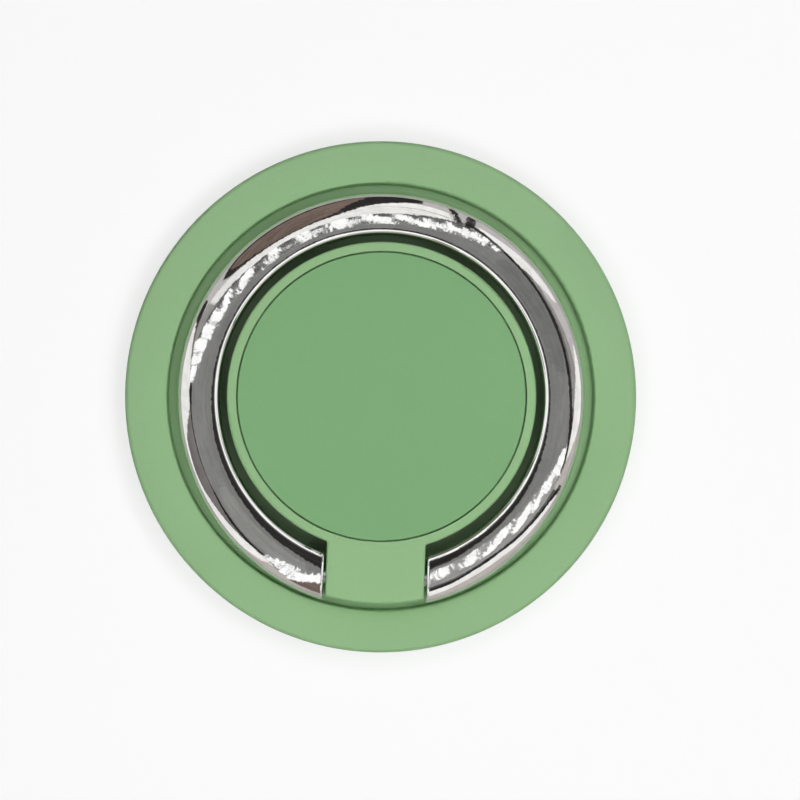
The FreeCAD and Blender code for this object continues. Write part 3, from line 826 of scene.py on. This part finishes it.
# Rows of lamps on the ceiling, set out the same way: each lamp is a card of its own, and behind each
# row hangs its frame.
lampRows = {
    "backRow": {
        "finish": "slateGrey",
        "frame": [(50, 0.55, 0.66), (60, 0.46, 0.64), (70, 0.36, 0.60), (80, 0.30, 0.50), (90, 0.24, 0.46),
            (100, 0.20, 0.43), (112, 0.19, 0.42), (125, 0.21, 0.44), (135, 0.25, 0.48), (145, 0.31, 0.57),
            (155, 0.38, 0.66), (165, 0.46, 0.74), (174, 0.62, 0.70)],
        "lamps": [
            [(51.5, 0.54, 0.60), (52.7, 0.50, 0.63), (54, 0.54, 0.60)],
            [(55.3, 0.56, 0.64), (57, 0.43, 0.645), (58.8, 0.42, 0.52)],
            [(58.5, 0.51, 0.64), (60, 0.46, 0.645), (61.5, 0.44, 0.55)],
            [(61.8, 0.37, 0.50), (63, 0.35, 0.60), (64.2, 0.39, 0.60)],
            [(64.5, 0.42, 0.54), (66.4, 0.40, 0.52)],
            [(66.5, 0.34, 0.50), (68, 0.30, 0.59), (69.5, 0.31, 0.56)],
            [(70.1, 0.37, 0.50), (71.5, 0.34, 0.46), (72.9, 0.35, 0.43)],
            [(73, 0.29, 0.36), (74.5, 0.25, 0.51), (76.4, 0.235, 0.48), (77.5, 0.235, 0.37),
             (80, 0.26, 0.36)],
            [(80.2, 0.28, 0.37), (83, 0.30, 0.47), (86, 0.35, 0.47)],
            [(86.8, 0.21, 0.36), (89, 0.185, 0.37), (92, 0.19, 0.40), (94, 0.26, 0.46), (97, 0.34, 0.46)],
            [(97.5, 0.25, 0.33), (98.6, 0.20, 0.37), (99.7, 0.25, 0.33)],
            [(100.4, 0.26, 0.36), (102, 0.19, 0.43), (104.2, 0.16, 0.43), (106, 0.18, 0.43),
             (107.5, 0.28, 0.42)],
            [(110.6, 0.26, 0.36), (112.1, 0.26, 0.36)],
            [(113, 0.21, 0.44), (116, 0.17, 0.44), (118.5, 0.20, 0.44)],
            [(121.4, 0.24, 0.33), (122.3, 0.24, 0.33)],
            [(124.8, 0.38, 0.46), (126.5, 0.24, 0.46), (128.5, 0.18, 0.45), (131, 0.20, 0.30)],
            [(134.7, 0.42, 0.48), (136.5, 0.33, 0.50), (139.5, 0.26, 0.48), (142, 0.24, 0.42),
             (144, 0.26, 0.33)],
            [(144.6, 0.49, 0.55), (147, 0.40, 0.55), (149.5, 0.32, 0.50), (151.4, 0.33, 0.42)],
            [(151.6, 0.36, 0.58), (154, 0.31, 0.62), (156, 0.37, 0.58)],
            [(156.6, 0.42, 0.64), (159, 0.37, 0.68), (161.4, 0.41, 0.62)],
            [(161.9, 0.48, 0.66), (163.5, 0.44, 0.76), (166, 0.48, 0.73)],
            [(166.5, 0.50, 0.70), (168.5, 0.48, 0.74), (170, 0.55, 0.72)],
            [(170.5, 0.57, 0.70), (172.5, 0.56, 0.71), (175, 0.65, 0.70)],
        ],
    },
    "nearRow": {
        "finish": "haze",
        "frame": [(283, 0.30, 0.665), (295, 0.27, 0.64), (305, 0.27, 0.62), (315, 0.29, 0.66),
            (325, 0.37, 0.70), (335, 0.47, 0.74), (343, 0.57, 0.70)],
        "lamps": [
            [(283, 0.45, 0.72), (284.5, 0.38, 0.64), (286.8, 0.33, 0.42)],
            [(287.8, 0.38, 0.50), (289, 0.31, 0.56), (291, 0.30, 0.55), (293, 0.31, 0.42)],
            [(296.7, 0.42, 0.52), (299, 0.29, 0.55), (301.5, 0.27, 0.54), (303.3, 0.29, 0.43)],
            [(303.8, 0.49, 0.55), (307, 0.41, 0.55), (310, 0.33, 0.53), (313.5, 0.29, 0.49),
             (316.5, 0.32, 0.42)],
            [(316.2, 0.50, 0.58), (318.5, 0.42, 0.61), (322, 0.40, 0.57), (325, 0.385, 0.53),
             (327, 0.41, 0.49)],
            [(325, 0.54, 0.60), (326.8, 0.50, 0.64), (329, 0.49, 0.60), (330.6, 0.47, 0.56)],
            [(330.9, 0.48, 0.60), (332.5, 0.44, 0.69), (334.6, 0.48, 0.65)],
            [(334.9, 0.51, 0.61), (336.6, 0.51, 0.64)],
            [(336.8, 0.55, 0.70), (338, 0.53, 0.77), (339.8, 0.56, 0.70)],
            [(340.1, 0.57, 0.72), (343, 0.57, 0.715), (345.5, 0.63, 0.69)],
        ],
    },
    "cornerRow": {
        "finish": "slateGrey",
        "frame": [(232.5, 0.64, 0.74), (238, 0.57, 0.81), (243, 0.55, 0.84)],
        "lamps": [
            [(232.5, 0.66, 0.72), (233.5, 0.63, 0.76), (234.8, 0.66, 0.76)],
            [(235.0, 0.62, 0.74), (236.2, 0.59, 0.77), (237.4, 0.58, 0.78)],
            [(237.7, 0.56, 0.82), (239.5, 0.54, 0.83), (240.4, 0.58, 0.80)],
            [(240.7, 0.54, 0.84), (241.6, 0.51, 0.87), (242.6, 0.54, 0.84)],
            [(242.8, 0.62, 0.84), (244, 0.61, 0.815), (246, 0.575, 0.775), (248, 0.51, 0.70),
             (250.5, 0.45, 0.65), (254, 0.40, 0.62)],
        ],
    },
}


def mirrorTilt(direction, place):
    # how far from straight up the thing lies that the crown mirrors at a place across it
    near = min(0.0, math.sin(math.radians(direction))) ** 2
    crownWidth = ringLook["crownWidth"] + (ringLook["flareOuter"] - ringLook["flareInner"]) * near
    return 2 * math.atan(ringLook["halfHeight"] / crownWidth * place / math.sqrt(1 - place ** 2))


def skyward(tilt, turn):
    # a direction by its angle from straight up and its turn from the right, in radians
    return Vector((math.sin(tilt) * math.cos(turn), math.sin(tilt) * math.sin(turn), math.cos(tilt)))


def between(rows, direction):
    # the two places of a card at a direction between its rows
    for first, second in zip(rows, rows[1:]):
        if direction <= second[0]:
            share = (direction - first[0]) / (second[0] - first[0])
            return [a + (b - a) * share for a, b in zip(first[1:], second[1:])]
    return rows[-1][1:]


def hideFromAllButGloss(card):
    # it shows in the chrome and nowhere else
    card.visible_camera = False
    card.visible_diffuse = False
    card.visible_shadow = False
    card.visible_transmission = False
    card.visible_volume_scatter = False


cardLook = {
    "distance": 0.60,        # of the first card
    "nearer": 0.005,         # how much nearer each later one hangs
    "across": 10,            # faces from one edge to the other
    "leastAlong": 8,
}
lean = Vector((*studioLook["lean"], 0))
tiltWithCamera = Vector((0, 0, 1)).rotation_difference(Vector((0, 0, 1)) - lean)


def addCard(name, finish, rows, distance):
    start, end = rows[0][0], rows[-1][0]
    bpy.ops.mesh.primitive_grid_add(x_subdivisions=max(cardLook["leastAlong"], round(end - start)),
                                    y_subdivisions=cardLook["across"], size=1)
    card = bpy.context.active_object
    card.name = name
    for vertex in card.data.vertices:
        direction = start + (end - start) * (vertex.co.x + 0.5)
        low, high = between(rows, direction)
        place = low + (high - low) * (vertex.co.y + 0.5)
        turn = math.radians(direction + studioLook["turn"])
        vertex.co = tiltWithCamera @ skyward(mirrorTilt(direction, place), turn) * distance
    card.data.materials.append(cardMaterials[finish])
    hideFromAllButGloss(card)


cardDistance = cardLook["distance"]
for cardName, (finish, rows) in studioCards.items():
    addCard(cardName, finish, rows, cardDistance)
    cardDistance -= cardLook["nearer"]

for rowName, row in lampRows.items():
    addCard(rowName + "Frame", row["finish"], row["frame"], cardDistance)
    for number, lampEdges in enumerate(row["lamps"]):
        addCard(rowName + str(number), "white", lampEdges, cardDistance - cardLook["nearer"])


stripLook = {
    # white strips that stand along the ring's inner edge and beside its two ends, for their bright rims
    "inset": 0.4 * mm,
    "start": 0.1 * mm,
    "height": 0.5 * mm,
    "steps": 360,
    "open": (250, 286),      # degrees that the tab takes up
    "endInset": 0.12 * mm,
    "endStart": -0.1 * mm,
    "endHeight": 0.8 * mm,
    "endLength": 2.6 * mm,
}


def addRimStrips(look):
    crest = ringLook["outer"] - ringLook["crownWidth"]
    middleZ = highRing.z + look["start"] + look["height"] / 2
    bpy.ops.mesh.primitive_cylinder_add(vertices=look["steps"], radius=crest - look["inset"],
                                        depth=look["height"], end_fill_type="NOTHING",
                                        location=(0, 0, middleZ))
    strip = bpy.context.active_object
    strip.name = "crestStrip"
    placeInMesh(strip)
    bpy.ops.object.mode_set(mode="EDIT")
    first, last = look["open"]
    selectVertices(strip, lambda co: first < math.degrees(math.atan2(co.y, co.x)) % 360 < last)
    bpy.ops.mesh.delete(type="VERT")
    # as wide as the ring on its near side
    flare = flareAt(1 - ringLook["crownWidth"] / ringLook["width"])
    selectVertices(strip, lambda co: co.y < 0)
    bpy.ops.transform.resize(value=(1, 1 + flare / crest, 1), center_override=(0, 0, 0))
    bpy.ops.object.mode_set(mode="OBJECT")
    strips = [strip]
    middleY = -crest - look["endLength"] / 2
    middleZ = highRing.z + look["endStart"] + look["endHeight"] / 2
    for name, side in (("rightEndStrip", 1), ("leftEndStrip", -1)):
        endX = side * (ringLook["endX"] - look["endInset"])
        bpy.ops.mesh.primitive_plane_add(size=1, rotation=(0, side * math.pi / 2, 0),
                                         location=(endX, middleY, middleZ))
        strip = bpy.context.active_object
        strip.name = name
        strip.scale = (look["endHeight"], look["endLength"], 1)
        placeInMesh(strip)
        strips.append(strip)
    rimLight = makeRimLight()
    for strip in strips:
        strip.data.materials.append(rimLight)
        hideFromAllButGloss(strip)


addRimStrips(stripLook)


def seenNode(tree, path):
    # 1 for what the camera sees directly, mirrored or through something clear
    seen = mathNode(tree, "MAXIMUM", path.outputs["Is Camera Ray"], path.outputs["Is Glossy Ray"])
    return mathNode(tree, "MAXIMUM", seen, path.outputs["Is Transmission Ray"])


floorLook = {
    "size": 3,
    "drop": 0.05 * mm,        # how far it lies under the part
    "seenThrough": 2.5 * mm,  # light that leaves the part's underside passes it within this distance
    "paper": (1.0, 1.0, 1.0),
    "unseenPaper": (0.8, 0.8, 0.8),
    "mirrored": (0.22, 0.20, 0.19),
    "glowShare": 0.68,
}


def makeFloor(look):
    bpy.ops.mesh.primitive_plane_add(size=look["size"], location=(0, 0, cadBox[0][2] - look["drop"]))
    floor = bpy.context.active_object
    floor.name = "floor"
    material, tree = newMaterial("floorPaper")
    path = addNode(tree, "ShaderNodeLightPath")
    seen = seenNode(tree, path)
    paper = addNode(tree, "ShaderNodeBsdfDiffuse")
    feed(tree, mixColour(tree, seen, look["unseenPaper"], look["paper"]), paper.inputs["Color"])
    # the chrome's lowest edge mirrors a duller floor
    glow = addNode(tree, "ShaderNodeEmission")
    glowColour = mixColour(tree, path.outputs["Is Glossy Ray"], look["paper"], look["mirrored"])
    feed(tree, glowColour, glow.inputs["Color"])
    # the camera sees white paper, a third of which still takes the object's shadow
    fromAbove = mixShaders(tree, mathNode(tree, "MULTIPLY", seen, look["glowShare"]), paper, glow)
    # from below it is clear, so that the underside shows and is lit
    backfacing = addNode(tree, "ShaderNodeNewGeometry").outputs["Backfacing"]
    near = mathNode(tree, "LESS_THAN", path.outputs["Ray Length"], look["seenThrough"])
    clear = addNode(tree, "ShaderNodeBsdfTransparent")
    finishShader(tree, mixShaders(tree, mathNode(tree, "MAXIMUM", backfacing, near), fromAbove, clear))
    floor.data.materials.append(material)


makeFloor(floorLook)

worldLook = {"seen": (1.0, 1.0, 1.0), "unseen": (0.1, 0.1, 0.1)}


def makeWorld(look):
    world = bpy.data.worlds.new("studioWorld")
    world.use_nodes = True
    tree = world.node_tree
    tree.nodes.clear()
    seen = seenNode(tree, addNode(tree, "ShaderNodeLightPath"))
    background = addNode(tree, "ShaderNodeBackground")
    feed(tree, mixColour(tree, seen, look["unseen"], look["seen"]), background.inputs["Color"])
    out = addNode(tree, "ShaderNodeOutputWorld")
    feed(tree, background.outputs[0], out.inputs["Surface"])
    bpy.context.scene.world = world


makeWorld(worldLook)

lampLook = {
    # a circle of soft lamps, a little stronger at the lower right
    "count": 6, "tilt": 27, "distance": 0.25, "size": 0.086, "watts": 0.0935, "strongest": 325, "drift": 0.6,
    # and one lamp under the floor, for views of the underside
    "lowPlace": (0.08, -0.05), "lowWatts": 0.45,
}


def addLamp(name, location, watts):
    data = bpy.data.lights.new(name, "AREA")
    data.shape = "SQUARE"
    data.size = lampLook["size"]
    data.energy = watts
    lamp = bpy.data.objects.new(name, data)
    bpy.context.scene.collection.objects.link(lamp)
    lamp.location = location
    lamp.rotation_euler = location.to_track_quat("Z", "Y").to_euler()
    lamp.visible_glossy = False


for number in range(lampLook["count"]):
    lampTurn = 2 * math.pi * number / lampLook["count"]
    lampPlace = skyward(math.radians(lampLook["tilt"]), lampTurn) * lampLook["distance"]
    share = 1 + lampLook["drift"] * math.cos(lampTurn - math.radians(lampLook["strongest"]))
    addLamp("softLamp" + str(number), lampPlace, lampLook["watts"] * share)
addLamp("lowLamp", Vector((*lampLook["lowPlace"], -lampLook["distance"])), lampLook["lowWatts"])

bpy.context.scene.view_settings.view_transform = "Standard"
print("studio done")

bpy.context.view_layer.update()
